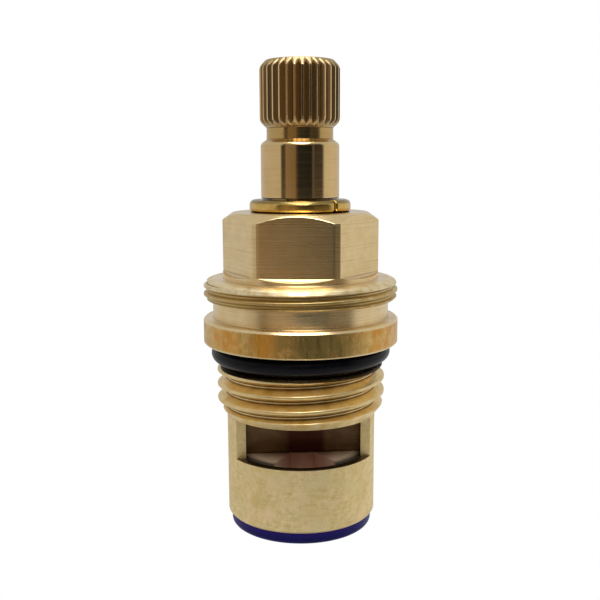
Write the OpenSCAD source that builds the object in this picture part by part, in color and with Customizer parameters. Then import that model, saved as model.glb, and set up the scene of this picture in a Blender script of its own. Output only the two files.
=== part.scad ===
// Quarter-turn ceramic disc tap cartridge: a turned brass body that screws into a tap, a splined
// brass spindle turning inside it, and a pair of lapped ceramic discs that open and shut the water way.
// The axis is Z. Heights count up from the underside of the bottom seal, and the windows face -Y and +Y.

/* [Skirt and outlet windows] */
// Outside diameter of the skirt below the valve thread
skirt_d = 18.63; // [18.4:0.01:18.8]
// Bore of the chamber that holds the discs
chamber_d = 16.6; // [16.3:0.05:16.8]
// Height of the skirt below the windows
skirt_h = 8; // [7.6:0.1:9]
// Height of each window
window_h = 4.9; // [4.5:0.1:5.5]
// Distance between the two milled window planes
window_flats = 8.7; // [8:0.1:9.4]
// Chamfer at the skirt's lower edge
skirt_chamfer = 0.3; // [0.1:0.05:0.4]

/* [Valve thread and body seal] */
// Major diameter of the thread that screws into the tap
valve_thread_d = 20.955; // [20.6:0.005:21.2]
// Length of that thread with its end chamfers
valve_thread_l = 6.3; // [5.5:0.1:7]
// Length of the lead-in chamfer at its lower end
valve_lead_l = 1.5; // [1:0.1:1.8]
// Chamfer at its upper end
valve_end_chamfer = 0.4; // [0.2:0.05:0.6]
// Root diameter of the seal groove above it
seal_groove_d = 17.96; // [17.6:0.02:18.2]
// Width of that groove
seal_groove_w = 2.7; // [2.6:0.05:3.2]
// Section diameter of the body O-ring
body_oring_section = 2.15; // [1.9:0.05:2.4]

/* [Collar, shroud thread and hexagon] */
// Outside diameter of the plain collar
collar_d = 24.1; // [24.05:0.05:25]
// Height of the collar
collar_h = 3.15; // [2.5:0.05:4]
// Chamfer at the collar's upper edge
collar_top_chamfer = 0.35; // [0.1:0.05:0.5]
// Chamfer at the collar's lower edge
collar_bottom_chamfer = 0.15; // [0.05:0.05:0.3]
// Diameter of the relief between the collar and the shroud thread
relief_d = 21.7; // [21:0.1:22.4]
// Width of that relief
relief_w = 2.3; // [1.8:0.1:3]
// Major diameter of the shroud thread
shroud_thread_d = 23.96; // [23.7:0.02:24]
// Length of the shroud thread with its chamfers
shroud_thread_l = 2.55; // [2.2:0.05:3.5]
// Radial size of the chamfer at its upper end
shroud_lead_r = 0.35; // [0.2:0.05:0.5]
// Axial size of that chamfer
shroud_lead_l = 0.65; // [0.4:0.05:0.8]
// Chamfer at its lower end
shroud_end_chamfer = 0.4; // [0.2:0.05:0.5]
// Height of the round boss under the hexagon
boss_h = 0.8; // [0.4:0.1:1.5]
// Width across the flats of the spanner hexagon
hex_af = 17; // [16:0.1:17.4]
// Diameter to which the hexagon's corners are turned
hex_corner_d = 19.16; // [18.8:0.02:19.4]
// Height of the hexagon
hex_h = 7.2; // [5:0.1:9]
// Diameter of the flat on top of the hexagon
hex_top_d = 16.9; // [15:0.1:16.9]
// Height of the chamfer round that flat
hex_chamfer_h = 1; // [0.5:0.05:1.2]
// Turn of the hexagon against the windows, in degrees
hex_turn = -7.4; // [-30:0.1:30]

/* [Spindle above the body] */
// Crest diameter of the splined head
spline_d = 9.64; // [9.5:0.02:9.7]
// Depth of the spline grooves
spline_depth = 0.55; // [0.3:0.01:0.7]
// Number of teeth on the head
spline_teeth = 32; // [20:1:36]
// Share of each pitch that is left as a crest
spline_land = 0.15; // [0.1:0.05:0.3]
// Length of the head
head_l = 7.86; // [6:0.02:12]
// Radial size of the chamfer at the top of the head
head_chamfer_r = 0.82; // [0.4:0.02:1]
// Axial size of that chamfer
head_chamfer_l = 0.9; // [0.4:0.02:1.1]
// Diameter of the neck under the head
neck_d = 8.04; // [7.4:0.02:8.4]
// Length of the neck
neck_l = 1.35; // [0.8:0.05:2]
// Diameter of the plain journal
journal_d = 9.52; // [9:0.02:9.64]
// Length of the journal below its chamfer
journal_l = 6.45; // [4:0.05:9]
// Length of the chamfer from the journal up to the neck
journal_chamfer_l = 0.53; // [0.3:0.01:0.9]
// Chamfer at the journal's lower edge
journal_edge = 0.2; // [0.1:0.05:0.4]
// Tap-drill diameter of the handle screw's hole
screw_hole_d = 3.3; // [2.5:0.1:4.2]
// Depth of that hole
screw_hole_l = 12; // [8:0.5:15]

/* [Circlip] */
// Outside diameter of the circlip
clip_d = 12.4; // [11:0.1:14]
// Thickness of the circlip
clip_t = 1.45; // [1:0.05:1.5]
// Rounding of the circlip's edges
clip_round = 0.35; // [0.1:0.05:0.45]
// Width of the split
clip_split = 0.6; // [0.4:0.05:1.5]
// Place of the split round the axis, in degrees from the front window
clip_turn = 39; // [-180:1:180]
// Root diameter of the circlip's groove
clip_groove_d = 7.14; // [6.6:0.02:7.4]
// Width of that groove
clip_groove_w = 1.6; // [1.55:0.05:2.4]

/* [Spindle inside the body] */
// Diameter of the shank that turns in the body
shank_d = 9.8; // [9.74:0.02:10.4]
// Section diameter of the two spindle O-rings
shank_oring_section = 1.4; // [1.2:0.02:1.6]
// Height of the lower O-ring above the thrust shoulder
shank_oring_h = 4; // [2.5:0.1:5]
// Distance between the two O-rings
shank_oring_pitch = 4.5; // [3:0.1:7]
// Thickness of the spindle's flange
flange_t = 3; // [2.4:0.1:3.4]
// Thickness of the thrust washer
washer_t = 0.8; // [0.5:0.05:1.2]
// Inner radius of the quarter-turn stops
stop_r = 6.7; // [6.4:0.05:7]
// Width of each stop in the body, in degrees
stop_width = 24; // [16:1:28]
// Turn from shut to open, in degrees
turn = 90; // [80:1:90]
// Thickness of the driving blade
blade_t = 5.4; // [4.6:0.1:6]
// Thickness of the tongue on the blade's lower edge
tongue_t = 4; // [3:0.1:4.4]
// Depth to which the tongue goes into the moving disc
tongue_h = 1.5; // [1:0.1:1.8]

/* [Discs and bottom seal] */
// Thickness of the moving disc
moving_disc_t = 3.2; // [2.8:0.1:3.4]
// Thickness of the fixed disc
fixed_disc_t = 3.2; // [2.8:0.1:3.4]
// Angle of each port, in degrees
port_angle = 60; // [45:1:80]
// Radius of the solid hub between the ports
hub_r = 3; // [2.8:0.1:3.4]
// Outer radius of the fixed disc's ports
port_r = 6.2; // [5.6:0.1:6.3]
// Chamfer round the discs' rims
disc_chamfer = 0.2; // [0.1:0.05:0.4]
// Width of the two keys that hold the fixed disc
key_w = 3; // [2:0.1:3.4]
// Height that each key stands out of the fixed disc's rim
key_h = 0.6; // [0.3:0.05:0.7]
// Height of the seal's lip below the skirt
lip_h = 1.5; // [1.2:0.1:2]
// Outside diameter of the lip
lip_d = 17.8; // [17.2:0.1:18]
// Rounding of the lip's outer lower edge
lip_round = 0.5; // [0.3:0.05:1.1]
// Bore of the seal
seal_bore_d = 13.8; // [13.4:0.1:14.2]
// Wall of the support ring inside the seal
support_wall = 0.6; // [0.5:0.05:0.7]
// Height of the seal's bore left open below the support ring
support_lift = 0.6; // [0.4:0.1:0.9]

/* [Clearances] */
// Radial running clearance of the spindle in the body
running = 0.05; // [0.03:0.01:0.08]
// Radial clearance of the discs and the blade in the chamber
chamber_clear = 0.2; // [0.1:0.05:0.3]
// Clearance of rubber and moulded pieces in their seats
seat_clear = 0.02; // [0.01:0.01:0.05]
// Axial clearance between faces that turn on each other
face_clear = 0.05; // [0.02:0.01:0.1]
// Clearance of keys and tongues in their slots, on each side
key_clear = 0.05; // [0.03:0.01:0.1]
// Angular play left at each stop, in degrees
stop_play = 1; // [0.5:0.1:2]

/* [Hidden] */
$fn = 96;
// Length by which a cutting shape passes the face that it opens
over = 1;

brass = "#b99b5c";
golden_brass = "#c79a3c";
ceramic = "#d9c9bd";
black_rubber = "#17181c";
indigo_rubber = "#221668";
white_acetal = "#e8e6df";

skirt_r = skirt_d / 2;
chamber_r = chamber_d / 2;
valve_thread_r = valve_thread_d / 2;
seal_groove_r = seal_groove_d / 2;
collar_r = collar_d / 2;
relief_r = relief_d / 2;
shroud_thread_r = shroud_thread_d / 2;
hex_corner_r = hex_corner_d / 2;
spline_r = spline_d / 2;
neck_r = neck_d / 2;
journal_r = journal_d / 2;
shank_r = shank_d / 2;
shank_bore_r = shank_r + running;
clip_groove_r = clip_groove_d / 2;
lip_r = lip_d / 2;
seal_bore_r = seal_bore_d / 2;

// Levels of the body, from the skirt's lower edge to the top of the hexagon
z_skirt = lip_h;
z_sill = z_skirt + skirt_h;
z_lintel = z_sill + window_h;
z_seal_groove = z_lintel + valve_thread_l;
z_collar = z_seal_groove + seal_groove_w;
z_relief = z_collar + collar_h;
z_shroud = z_relief + relief_w;
z_boss = z_shroud + shroud_thread_l;
z_hex = z_boss + boss_h;
z_body_top = z_hex + hex_h;

// Levels of the discs, which end level with the window sill
z_moving_top = z_sill;
z_fixed_top = z_moving_top - moving_disc_t - seat_clear;
z_fixed_bottom = z_fixed_top - fixed_disc_t;

// Levels of the spindle
z_flange = z_lintel + chamber_clear;
z_flange_top = z_flange + flange_t;
z_shoulder = z_flange_top + washer_t + face_clear;
z_clip_seat = z_body_top + face_clear;
z_journal = z_clip_seat + clip_groove_w;
z_neck = z_journal + journal_l + journal_chamfer_l;
z_head = z_neck + neck_l;
z_top = z_head + head_l;

disc_r = chamber_r - chamber_clear;
flange_r = chamber_r - 2 * running;
shank_oring_r = shank_r - shank_oring_section / 2 - seat_clear;
shank_groove_r = shank_r - shank_oring_section - 2 * seat_clear;
shank_groove_w = 1.3 * shank_oring_section;
key_reach = disc_r + key_h;

// A wedge from the axis, wide enough at its outer end to cover a circle of radius r
module wedge(r, angle) {
  reach = r / cos(angle / 4);
  polygon([[0, 0], for (k = [-0.5, 0, 0.5]) reach * [cos(k * angle), sin(k * angle)]]);
}

// The child repeated on the opposite side of the axis
module twice() {
  for (half = [0, 180])
    rotate(half) children();
}

// A plain ring, or a solid disc with r_in = 0, with its rims chamfered
module chamfered_disc(r_out, r_in, z0, h, chamfer) {
  rotate_extrude()
    polygon([
      [r_in, z0],
      [r_out - chamfer, z0],
      [r_out, z0 + chamfer],
      [r_out, z0 + h - chamfer],
      [r_out - chamfer, z0 + h],
      [r_in, z0 + h]
    ]);
}

module o_ring(r, section, z) {
  translate([0, 0, z])
    rotate_extrude()
      translate([r, 0])
        circle(d = section);
}

// The body as it comes off the lathe, before milling and boring
module body_blank() {
  rotate_extrude()
    polygon([
      [0, z_skirt],
      [skirt_r - skirt_chamfer, z_skirt],
      [skirt_r, z_skirt + skirt_chamfer],
      [skirt_r, z_lintel],
      [valve_thread_r, z_lintel + valve_lead_l],
      [valve_thread_r, z_seal_groove - valve_end_chamfer],
      [valve_thread_r - valve_end_chamfer, z_seal_groove],
      [seal_groove_r, z_seal_groove],
      [seal_groove_r, z_collar],
      [collar_r - collar_bottom_chamfer, z_collar],
      [collar_r, z_collar + collar_bottom_chamfer],
      [collar_r, z_relief - collar_top_chamfer],
      [collar_r - collar_top_chamfer, z_relief],
      [relief_r, z_relief],
      [relief_r, z_shroud],
      [shroud_thread_r - shroud_end_chamfer, z_shroud],
      [shroud_thread_r, z_shroud + shroud_end_chamfer],
      [shroud_thread_r, z_boss - shroud_lead_l],
      [shroud_thread_r - shroud_lead_r, z_boss],
      [hex_corner_r, z_boss],
      [hex_corner_r, z_body_top - hex_chamfer_h],
      [hex_top_d / 2, z_body_top],
      [0, z_body_top]
    ]);
}

// What the mill takes off the round stock to leave the hexagon
module hex_milling() {
  translate([0, 0, z_hex])
    linear_extrude(hex_h + over)
      difference() {
        circle(r = hex_corner_r + over);
        rotate(hex_turn) circle(d = hex_af / cos(30), $fn = 6);
      }
}

// One straight cut across the skirt, which opens a window
module window_milling() {
  translate([-skirt_r - over, window_flats / 2, z_sill])
    cube([2 * (skirt_r + over), skirt_r, window_h]);
}

// The two lugs that stop the spindle, hanging from the thrust shoulder
module stops() {
  translate([0, 0, z_flange])
    linear_extrude(z_shoulder - z_flange + over)
      twice()
        difference() {
          rotate(45 + turn) wedge(chamber_r + over, stop_width);
          circle(r = stop_r);
        }
}

// The slots in the chamber's wall that hold the fixed disc's keys
module key_slots() {
  width = key_w + 2 * key_clear;
  reach = key_reach + key_clear;
  translate([-reach, -width / 2, z_skirt - over])
    cube([2 * reach, width, z_fixed_top - z_skirt + over]);
}

module valve_body() {
  color(brass)
    difference() {
      body_blank();
      hex_milling();
      twice() window_milling();
      difference() {
        translate([0, 0, z_skirt - over]) cylinder(r = chamber_r, h = z_shoulder - z_skirt + over);
        stops();
      }
      key_slots();
      cylinder(r = shank_bore_r, h = z_body_top + over);
    }
}

module body_oring() {
  color(black_rubber)
    o_ring(
      r = seal_groove_r + seat_clear + body_oring_section / 2,
      section = body_oring_section,
      z = z_collar - seat_clear - body_oring_section / 2
    );
}

module fixed_disc() {
  color(ceramic)
    difference() {
      union() {
        chamfered_disc(disc_r, 0, z_fixed_bottom, fixed_disc_t, disc_chamfer);
        translate([-key_reach, -key_w / 2, z_fixed_bottom + disc_chamfer])
          cube([2 * key_reach, key_w, fixed_disc_t - 2 * disc_chamfer]);
      }
      translate([0, 0, z_fixed_bottom - over])
        linear_extrude(fixed_disc_t + 2 * over)
          twice()
            intersection() {
              wedge(port_r, port_angle);
              difference() {
                circle(r = port_r);
                circle(r = hub_r);
              }
            }
    }
}

module bottom_seal() {
  color(indigo_rubber)
    rotate_extrude() {
      difference() {
        translate([seal_bore_r, 0]) square([lip_r - seal_bore_r, lip_h]);
        translate([lip_r - lip_round, 0]) square(lip_round);
      }
      intersection() {
        translate([lip_r - lip_round, lip_round]) circle(r = lip_round);
        translate([lip_r - lip_round, 0]) square(lip_round);
      }
      translate([seal_bore_r, lip_round])
        square([chamber_r - seat_clear - seal_bore_r, z_fixed_bottom - lip_round]);
    }
}

module seal_support_ring() {
  color(white_acetal)
    chamfered_disc(
      r_out = seal_bore_r - seat_clear,
      r_in = seal_bore_r - seat_clear - support_wall,
      z0 = support_lift,
      h = z_fixed_bottom - support_lift,
      chamfer = disc_chamfer
    );
}

// Cross-section of the splined head, its teeth left open at the crests
module spline_section() {
  pitch = 360 / spline_teeth;
  half_groove = pitch * (1 - spline_land) / 2;
  root_r = spline_r - spline_depth;
  // The flanks run on past the crest circle, which the turned head then trims
  run_on = 1.1;
  reach = root_r + run_on * spline_depth;
  spread = run_on * half_groove;
  polygon([
    for (k = [0 : spline_teeth - 1])
      let (groove = (k + 0.5) * pitch - 90)
      each [
        reach * [cos(groove - spread), sin(groove - spread)],
        root_r * [cos(groove), sin(groove)],
        reach * [cos(groove + spread), sin(groove + spread)]
      ]
  ]);
}

module splined_head() {
  intersection() {
    rotate_extrude()
      polygon([
        [0, z_head],
        [neck_r, z_head],
        [spline_r, z_head + spline_r - neck_r],
        [spline_r, z_top - head_chamfer_l],
        [spline_r - head_chamfer_r, z_top],
        [0, z_top]
      ]);
    translate([0, 0, z_head - over]) linear_extrude(head_l + 2 * over) spline_section();
  }
}

// Everything round below the head: shank with its two O-ring grooves, circlip groove, journal and neck
module shaft() {
  lower = z_shoulder + shank_oring_h - shank_groove_w / 2;
  upper = lower + shank_oring_pitch;
  rotate_extrude()
    polygon([
      [0, z_flange],
      [shank_r, z_flange],
      for (z = [lower, upper])
        each [
          [shank_r, z],
          [shank_groove_r, z],
          [shank_groove_r, z + shank_groove_w],
          [shank_r, z + shank_groove_w]
        ],
      [shank_r, z_clip_seat],
      [clip_groove_r, z_clip_seat],
      [clip_groove_r, z_journal],
      [journal_r - journal_edge, z_journal],
      [journal_r, z_journal + journal_edge],
      [journal_r, z_journal + journal_l],
      [neck_r, z_neck],
      [neck_r, z_head],
      [0, z_head]
    ]);
}

// The flange, cut back on two sides so that the stops let it turn by a quarter
module flange() {
  translate([0, 0, z_flange])
    linear_extrude(flange_t)
      difference() {
        circle(r = flange_r);
        twice()
          difference() {
            rotate(45 + turn / 2) wedge(chamber_r, turn + stop_width + 2 * stop_play);
            circle(r = stop_r - chamber_clear);
          }
      }
}

// A bar across the axis with round ends
module cross_bar(thickness, r, z0, z1) {
  translate([0, 0, z0])
    linear_extrude(z1 - z0)
      intersection() {
        circle(r = r);
        square([2 * r, thickness], center = true);
      }
}

module spindle() {
  color(brass)
    difference() {
      union() {
        splined_head();
        shaft();
        flange();
        cross_bar(blade_t, disc_r, z_moving_top + face_clear, z_flange);
        cross_bar(tongue_t, disc_r, z_moving_top - tongue_h, z_flange);
      }
      translate([0, 0, z_top - screw_hole_l]) cylinder(d = screw_hole_d, h = screw_hole_l + over);
    }
}

module moving_disc() {
  slot_w = tongue_t + 2 * key_clear;
  slot_h = tongue_h + key_clear;
  color(ceramic)
    difference() {
      chamfered_disc(disc_r, 0, z_moving_top - moving_disc_t, moving_disc_t, disc_chamfer);
      translate([0, 0, z_moving_top - moving_disc_t - over])
        linear_extrude(moving_disc_t + 2 * over)
          twice()
            difference() {
              rotate(90) wedge(chamber_r, port_angle);
              circle(r = hub_r);
            }
      translate([-chamber_r, -slot_w / 2, z_moving_top - slot_h]) cube([chamber_d, slot_w, slot_h + over]);
    }
}

module thrust_washer() {
  color(white_acetal)
    difference() {
      translate([0, 0, z_flange_top]) cylinder(r = stop_r - chamber_clear, h = washer_t);
      translate([0, 0, z_flange_top - over]) cylinder(r = shank_bore_r, h = washer_t + 2 * over);
    }
}

module lower_spindle_oring() {
  color(black_rubber)
    o_ring(shank_oring_r, shank_oring_section, z_shoulder + shank_oring_h);
}

module upper_spindle_oring() {
  color(black_rubber)
    o_ring(shank_oring_r, shank_oring_section, z_shoulder + shank_oring_h + shank_oring_pitch);
}

// Half section of the circlip, with its two outer edges rounded
module clip_section() {
  clip_in_r = clip_groove_r + seat_clear;
  width = clip_d / 2 - clip_in_r;
  translate([clip_in_r, 0]) square([width - clip_round, clip_t]);
  translate([clip_in_r, clip_round]) square([width, clip_t - 2 * clip_round]);
  for (z = [clip_round, clip_t - clip_round])
    translate([clip_d / 2 - clip_round, z]) circle(r = clip_round);
}

module circlip() {
  color(golden_brass)
    difference() {
      translate([0, 0, z_clip_seat]) rotate_extrude() clip_section();
      rotate(clip_turn - 90)
        translate([0, -clip_split / 2, z_clip_seat - over])
          cube([clip_d, clip_split, clip_t + 2 * over]);
    }
}

valve_body();
body_oring();
fixed_disc();
bottom_seal();
seal_support_ring();
spindle();
moving_disc();
thrust_washer();
lower_spindle_oring();
upper_spindle_oring();
circlip();
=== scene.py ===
import math
import bpy
import numpy as np
from mathutils import Matrix, Vector


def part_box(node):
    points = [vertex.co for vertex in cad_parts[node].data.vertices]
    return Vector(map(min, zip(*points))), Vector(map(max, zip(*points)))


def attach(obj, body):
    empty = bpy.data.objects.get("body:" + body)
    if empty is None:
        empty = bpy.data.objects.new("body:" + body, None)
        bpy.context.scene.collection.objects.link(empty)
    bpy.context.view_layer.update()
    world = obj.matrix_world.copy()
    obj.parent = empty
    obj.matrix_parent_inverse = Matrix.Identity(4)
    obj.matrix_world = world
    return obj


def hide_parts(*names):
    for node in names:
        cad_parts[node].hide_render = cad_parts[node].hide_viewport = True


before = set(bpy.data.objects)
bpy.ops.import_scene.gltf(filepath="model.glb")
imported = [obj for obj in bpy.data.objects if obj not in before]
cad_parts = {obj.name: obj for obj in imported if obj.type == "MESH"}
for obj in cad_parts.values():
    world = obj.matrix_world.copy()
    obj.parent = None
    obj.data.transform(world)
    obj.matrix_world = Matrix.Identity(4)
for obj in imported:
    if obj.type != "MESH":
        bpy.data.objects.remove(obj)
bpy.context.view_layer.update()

# Valve body
# Turned from one brass bar: skirt, valve thread, seal groove, collar, relief, shroud thread and boss.
# The hexagon and the two windows are milled, and the bar is bored through for discs and spindle.
# Sizes are in millimetres and become metres where a mesh is made.
MM = 0.001
body_low, body_high = (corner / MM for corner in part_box("valve_body"))
sill_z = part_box("moving_disc")[1].z / MM
skirt_z = body_low.z
body_top_z = body_high.z
collar_r = body_high.x
skirt_r = 9.315
skirt_chamfer = 0.3
skirt_face_w = 0.6
chamber_r = 8.3
window_y = 4.35
window_h = 4.9
window_edge = 0.06
lintel_z = sill_z + window_h
valve_crest_r = 10.4775
valve_depth = 1.162
valve_pitch = 1.814
valve_crest_z = 19.08
valve_lead = 1.5
valve_top_chamfer = 0.4
valve_round = 0.05
thread_step = 0.07
thread_round = 0.08
seal_groove_r = 8.98
seal_groove_z = 20.7
groove_round = 0.1
collar_z = 23.4
collar_low_edge = 0.18
collar_bevel_w = 0.24
collar_bevel_h = 0.26
collar_bevel_round = 0.06
clean_edge_w = 0.25
relief_z = 26.55
relief_r = 10.85
relief_round = 0.15
shroud_z = 28.85
shroud_face_w = 0.7
shroud_crest_r = 11.98
shroud_depth = 0.5
shroud_pitch = 1.0
shroud_crest_z = 30.02
shroud_round = 0.04
shroud_lead = 0.4
shroud_rim_drop = np.array((0.8, 0.32, 0.1, 0.0))
shroud_rim_inset = np.array((0.0, 0.26, 0.68, 1.2))
shroud_runout = (0.4, 0.2)
boss_z = 31.4
boss_h = 0.3
hex_z = 32.2
hex_half = 8.5
hex_corner_r = 9.58
hex_turn = math.radians(-7.4)
hex_top_r = 8.25
hex_chamfer = 0.96
hex_round = 0.06
hex_ring_h = np.array((0.1, 0.3, 1.5, 3.0, 4.5))
hex_lead = 0.3
hex_step = 0.05
hex_top_edge = 0.04
foot_drop = 0.04
# The next three are shares of a flat's depth, so the scoop ends at the corners.
foot_scoop = 0.3
foot_rim = ((0, 0.05), (0.015, 0.015), (0.05, 0))
foot_lip = 0.03
# Inner edge of the painted shadow ring on top of the hexagon, under the circlip.
shadow_ring_r = 6.1
shank_bore_r = 4.95
shank_bore_chamfer = 0.3
shoulder_z = 18.45
stop_z = 14.6
stop_r = 6.7
stop_turn = 135
stop_half = 12
key_slot_z = 6.28
key_slot_r = 8.76
key_slot_half = 1.55
fine_round = 0.05
edge_round = 0.08
corner_round = 0.12
NEARLY_ZERO = 1e-9


def softer_min(a, b, blend):
    """The smaller of two values, rounded off where they meet."""
    near = np.maximum(blend - np.abs(a - b), 0) / blend
    return np.minimum(a, b) - near * near * blend / 4


def rounded_outline(corners, steps=4):
    """Outline through (radius, height, rounding) corners, with each rounding drawn as an arc."""
    points = [np.array(corners[0][:2], float)]
    for before, corner, after in zip(corners, corners[1:], corners[2:]):
        p = np.array(corner[:2], float)
        u, v = (np.array(c[:2], float) - p for c in (before, after))
        u, v = u / np.linalg.norm(u), v / np.linalg.norm(v)
        if corner[2] == 0:
            points.append(p)
            continue
        half = math.acos(np.clip(u @ v, -1, 1)) / 2
        bisector = (u + v) / np.linalg.norm(u + v)
        centre = p + bisector * corner[2] / math.sin(half)
        start = p + u * corner[2] / math.tan(half) - centre
        end = p + v * corner[2] / math.tan(half) - centre
        for k in np.linspace(0, 1, steps + 1):
            spoke = start * (1 - k) + end * k
            points.append(centre + spoke * corner[2] / np.linalg.norm(spoke))
    return points + [np.array(corners[-1][:2], float)]


def rings(rows, turn):
    """Points of a turned surface, a ring for each row of radius, height and, where given, turns."""
    grid = []
    for r, z, *own in rows:
        at = own[0] if own else turn
        grid.append(np.stack([r * np.cos(at), r * np.sin(at), np.broadcast_to(z, at.shape)], axis=-1))
    return np.array(grid)


def with_margins(points, margin=0.12):
    """The grid with a row beside each end of its long steps, so that edge marks stay close to the edge."""
    rows = [points[0]]
    for before, after in zip(points, points[1:]):
        step = np.linalg.norm(after - before, axis=-1).max()
        if step > 4 * margin:
            rows += [before + (after - before) * share for share in (margin / step, 1 - margin / step)]
        rows.append(after)
    return np.array(rows)


def pull(points, towards):
    """Unit vectors from each point to its neighbour, or zero where the two are the same."""
    away = towards - points
    return away / np.maximum(np.linalg.norm(away, axis=-1, keepdims=True), NEARLY_ZERO)


def skin(name, patches, finishes):
    """One mesh from (grid of points, runs right round, finish) patches that share their border points.
    Shading follows each grid, so a border between two patches is a crisp edge. The point attribute "edge"
    is how sharply the surface bends at a point: above zero on an outer edge, below zero in a corner."""
    spots, slopes, pulls, quads, looks, count = [], [], [], [], [], 0
    for points, closed, finish in patches:
        points = with_margins(points)
        if closed:
            points = np.concatenate([points, points[:, :1]], axis=1)
        rows, cols = points.shape[:2]
        up = points[np.minimum(np.arange(rows) + 1, rows - 1)] - points[np.maximum(np.arange(rows) - 1, 0)]
        after = np.minimum(np.arange(cols) + 1, cols - 1)
        before = np.maximum(np.arange(cols) - 1, 0)
        if closed:
            after[-1], before[0] = 1, cols - 2
        normal = np.cross(points[:, after] - points[:, before], up)
        length = np.linalg.norm(normal, axis=-1, keepdims=True)
        for row in np.where(length[:, :, 0].max(axis=1) < NEARLY_ZERO)[0]:
            normal[row] = normal[row + 1 if row == 0 else row - 1]
        normal /= np.maximum(np.linalg.norm(normal, axis=-1, keepdims=True), NEARLY_ZERO)
        index = count + np.arange(rows * cols).reshape(rows, cols)
        quad = np.stack([index[:-1, :-1], index[:-1, 1:], index[1:, 1:], index[1:, :-1]], axis=-1)
        bend = np.zeros_like(points)
        bend[1:] += pull(points[1:], points[:-1])
        bend[:-1] += pull(points[:-1], points[1:])
        bend += pull(points, points[:, after]) + pull(points, points[:, before])
        if closed:
            bend[:, -1] = 0
        spots.append(points.reshape(-1, 3))
        pulls.append(bend.reshape(-1, 3))
        slopes.append(normal.reshape(-1, 3))
        quads.append(quad.reshape(-1, 4))
        looks.append(np.full(len(quads[-1]), finish))
        count += rows * cols
    spots, slopes = np.concatenate(spots), np.concatenate(slopes)
    weld_mm = 1e-4
    _, first, welded = np.unique(np.round(spots / weld_mm).astype(np.int64), axis=0,
                                 return_index=True, return_inverse=True)
    welded = welded.reshape(-1)
    facing, bend = np.zeros((len(first), 3)), np.zeros((len(first), 3))
    np.add.at(facing, welded, slopes)
    np.add.at(bend, welded, np.concatenate(pulls))
    facing /= np.maximum(np.linalg.norm(facing, axis=-1, keepdims=True), NEARLY_ZERO)
    faces, face_looks, corner_slopes = [], [], []
    for quad, look in zip(np.concatenate(quads), np.concatenate(looks)):
        ends = welded[quad]
        kept = [k for k in range(4) if ends[k] != ends[k - 1]]
        if len(set(ends[kept])) == len(kept) > 2:
            faces.append([int(ends[k]) for k in kept])
            face_looks.append(look)
            corner_slopes.extend(quad[k] for k in kept)
    mesh = bpy.data.meshes.new(name)
    mesh.from_pydata(spots[first] * MM, [], faces)
    for finish in finishes:
        mesh.materials.append(finish)
    mesh.polygons.foreach_set("use_smooth", [True] * len(faces))
    mesh.polygons.foreach_set("material_index", face_looks)
    mesh.normals_split_custom_set(slopes[corner_slopes])
    mesh.attributes.new("edge", "FLOAT", "POINT").data.foreach_set("value", -(facing * bend).sum(axis=-1))
    piece = bpy.data.objects.new(name, mesh)
    bpy.context.scene.collection.objects.link(piece)
    return piece


def thread(turn, z, crest_r, depth, pitch, crest_z):
    """Radius of a right-hand 55 degree thread with a crest at crest_z on the +X side."""
    flank_angle = math.radians(55 / 2)
    phase = (z - crest_z) / pitch - turn / (2 * math.pi)
    off_crest = np.abs(phase - np.round(phase))
    flank = pitch / (2 * math.tan(flank_angle)) * (0.5 - 2 * off_crest)
    form = -softer_min(-softer_min(flank, depth / 2, thread_round), depth / 2, thread_round)
    return crest_r - depth / 2 + form


def window_columns(r):
    """Turns of the points round a ring of radius r, so that some lie on the window planes."""
    half = math.asin(window_y / r)
    ends = (-half, half, math.pi - half, math.pi + half, 2 * math.pi - half)
    steps = (pillar_cols, window_cols, pillar_cols, window_cols)
    return np.concatenate([np.linspace(a, b, n, endpoint=False) for a, b, n in zip(ends, ends[1:], steps)])


def stretch(grid, first, last):
    """The columns of a ring's grid from first to last."""
    return np.take(grid, range(first, last + 1), axis=1, mode="wrap")


def all_round(finished_rows, turn):
    """Patches that run right round, from pairs of rows and their finish."""
    return [(rings(rows, turn), True, finish) for rows, finish in finished_rows]


pillar_cols, window_cols = 80, 180
outer = window_columns(skirt_r)
inner = window_columns(chamber_r)
all_cols = len(outer)
pillars = ((0, pillar_cols), (pillar_cols + window_cols, 2 * pillar_cols + window_cols))
windows = ((pillars[0][1], pillars[1][0]), (pillars[1][1], all_cols))

slot_r = np.where(np.abs(chamber_r * np.sin(inner)) < key_slot_half, key_slot_r, chamber_r)
past_stop = np.abs((np.degrees(inner) - stop_turn + 90) % 180 - 90)
lug_r = np.where(past_stop < stop_half, stop_r, chamber_r)

skirt_rows = [(slot_r, skirt_z, inner)] + rounded_outline([
    (skirt_r - skirt_face_w, skirt_z, 0),
    (skirt_r - skirt_chamfer, skirt_z, edge_round),
    (skirt_r, skirt_z + skirt_chamfer, corner_round),
    (skirt_r, sill_z - window_edge, 0),
])
sill_rows = [
    (r, z, window_columns(r))
    for r, z in (
        (skirt_r, sill_z - window_edge),
        (skirt_r - window_edge, sill_z),
        (chamber_r + window_edge, sill_z),
        (chamber_r, sill_z - window_edge),
    )
]
lintel_rows = [(r, lintel_z, window_columns(r)) for r, _, _ in reversed(sill_rows)]
pillar_outside = rings([(skirt_r, sill_z - window_edge), (skirt_r, lintel_z)], outer)
pillar_inside = rings([(chamber_r, lintel_z), (chamber_r, sill_z - window_edge)], inner)

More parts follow.
